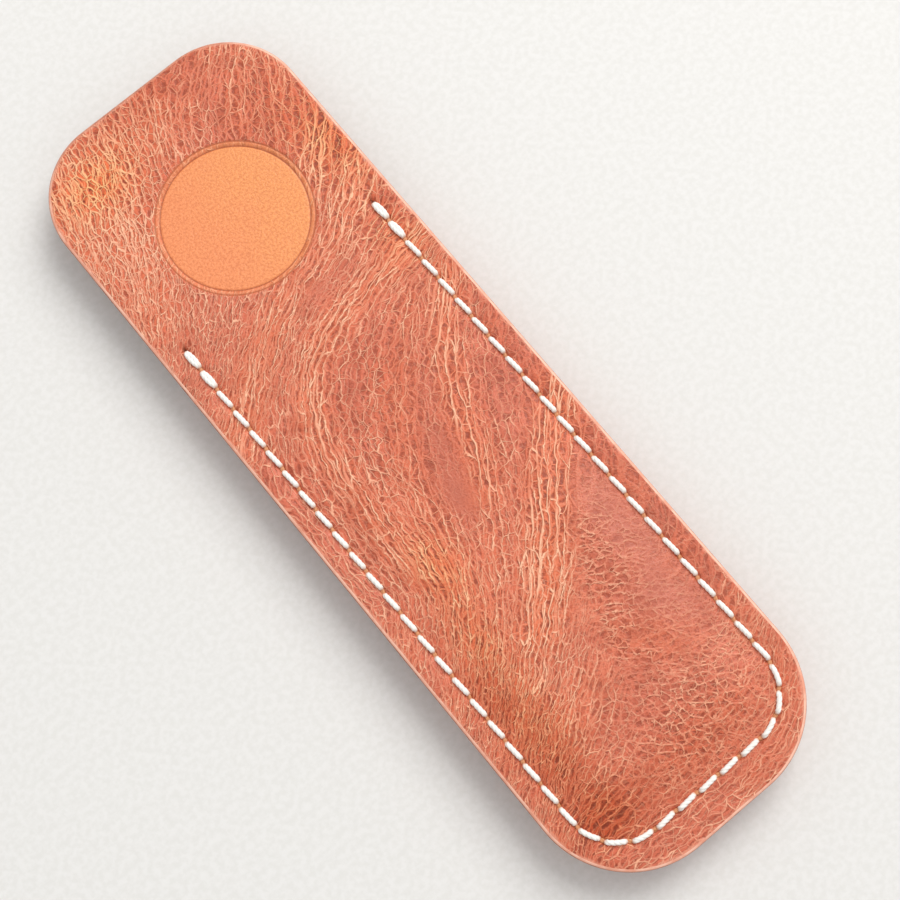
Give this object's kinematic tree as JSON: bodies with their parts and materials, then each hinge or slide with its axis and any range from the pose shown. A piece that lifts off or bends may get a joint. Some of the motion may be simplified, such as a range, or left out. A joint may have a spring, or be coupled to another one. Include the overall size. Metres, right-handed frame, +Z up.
{
  "type": "fountain pen case",
  "caption": "Leather pen sleeve: long back panel with a stamped tab, a formed pocket panel behind it and a lockstitched U-shaped seam, open at the tab end to take a pen.",
  "frame": {"origin": "middle of the width and of the length, on the table under the pocket's flat belly", "axes": "+X across the sleeve, +Y along it towards the free tab, +Z up out of the grain side of the back panel"},
  "size_m": [0.05, 0.16, 0.0087],
  "materials": {
    "leather": "pull-up grain, satin wax",
    "thread": "waxed twisted thread"
  },
  "bodies": {
    "root": {"back_panel": "leather", "pocket_panel": "leather", "needle_thread": "thread", "bobbin_thread": "thread"}
  },
  "joints": []
}
